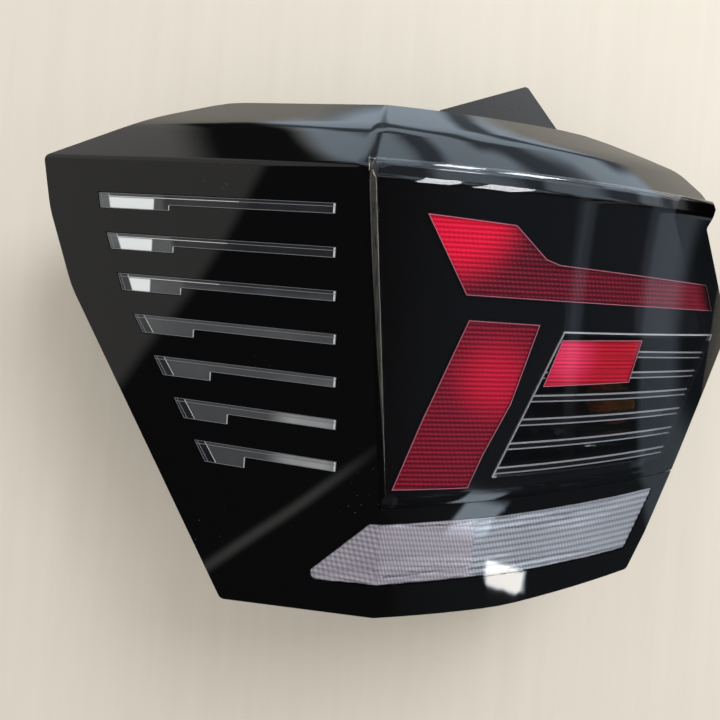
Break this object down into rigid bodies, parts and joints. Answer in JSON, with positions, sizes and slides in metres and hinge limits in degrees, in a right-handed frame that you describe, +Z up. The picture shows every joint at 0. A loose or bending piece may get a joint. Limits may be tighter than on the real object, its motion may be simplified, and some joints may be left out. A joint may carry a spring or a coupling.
{
  "type": "tail light cluster",
  "caption": "Rear corner lamp: gloss black cover with light slots, raised smoke lens over red panels and louvres, clear reversing lens, and the housing with studs behind.",
  "frame": {"origin": "where the main stud leaves the seat plane at the back of the housing", "axes": "+X towards the inner end of the lamp, +Y along the studs, away from the face and into the vehicle, +Z up"},
  "size_m": [0.4099, 0.158, 0.3116],
  "materials": {
    "housing_plastic": "moulded, fine grain",
    "gloss_black": "high gloss black",
    "smoke_acrylic": "polished smoke tint",
    "clear_acrylic": "clear with moulded optics",
    "bezel_black": "gloss black",
    "red_acrylic": "transparent red with moulded ribs",
    "louvre_black": "gloss black",
    "bright_trim": "bright metallised edge",
    "guide_acrylic": "clear light guide",
    "inner_black": "moulded",
    "reflector_metal": "plastic with a bright metallised face",
    "bulb_glass": "clear glass",
    "amber_glass": "amber glass",
    "carrier_plastic": "moulded",
    "contact_brass": "stamped",
    "seal_rubber": "soft foam rubber",
    "screw_steel": "zinc plated",
    "bracket_plastic": "moulded"
  },
  "bodies": {
    "root": {"housing": "housing_plastic", "black_cover": "gloss_black", "smoke_lens": "smoke_acrylic", "reverse_lens": "clear_acrylic", "inner_bezel": "bezel_black", "upper_red_lens": "red_acrylic", "lower_red_lens": "red_acrylic", "stop_lens": "red_acrylic", "louvre": "louvre_black", "chrome_strips": "bright_trim", "window_frame": "bright_trim", "gill_blade_1": "guide_acrylic", "gill_blade_2": "guide_acrylic", "gill_blade_3": "guide_acrylic", "gill_blade_4": "guide_acrylic", "gill_blade_5": "guide_acrylic", "gill_blade_6": "guide_acrylic", "gill_blade_7": "guide_acrylic", "gill_carrier": "inner_black", "upper_reflector": "reflector_metal", "lower_reflector": "reflector_metal", "window_reflector": "reflector_metal", "reverse_reflector": "reflector_metal", "upper_tail_bulb": "bulb_glass", "lower_tail_bulb": "bulb_glass", "stop_bulb": "bulb_glass", "turn_bulb": "amber_glass", "reverse_bulb": "bulb_glass", "bulb_carrier": "carrier_plastic", "contact_strips": "contact_brass", "connector_pins": "contact_brass", "carrier_seal": "seal_rubber", "carrier_screws": "screw_steel", "body_seal": "seal_rubber", "mounting_studs": "screw_steel", "guide_pins": "housing_plastic", "vent_caps": "seal_rubber", "top_bracket": "bracket_plastic"}
  },
  "joints": []
}
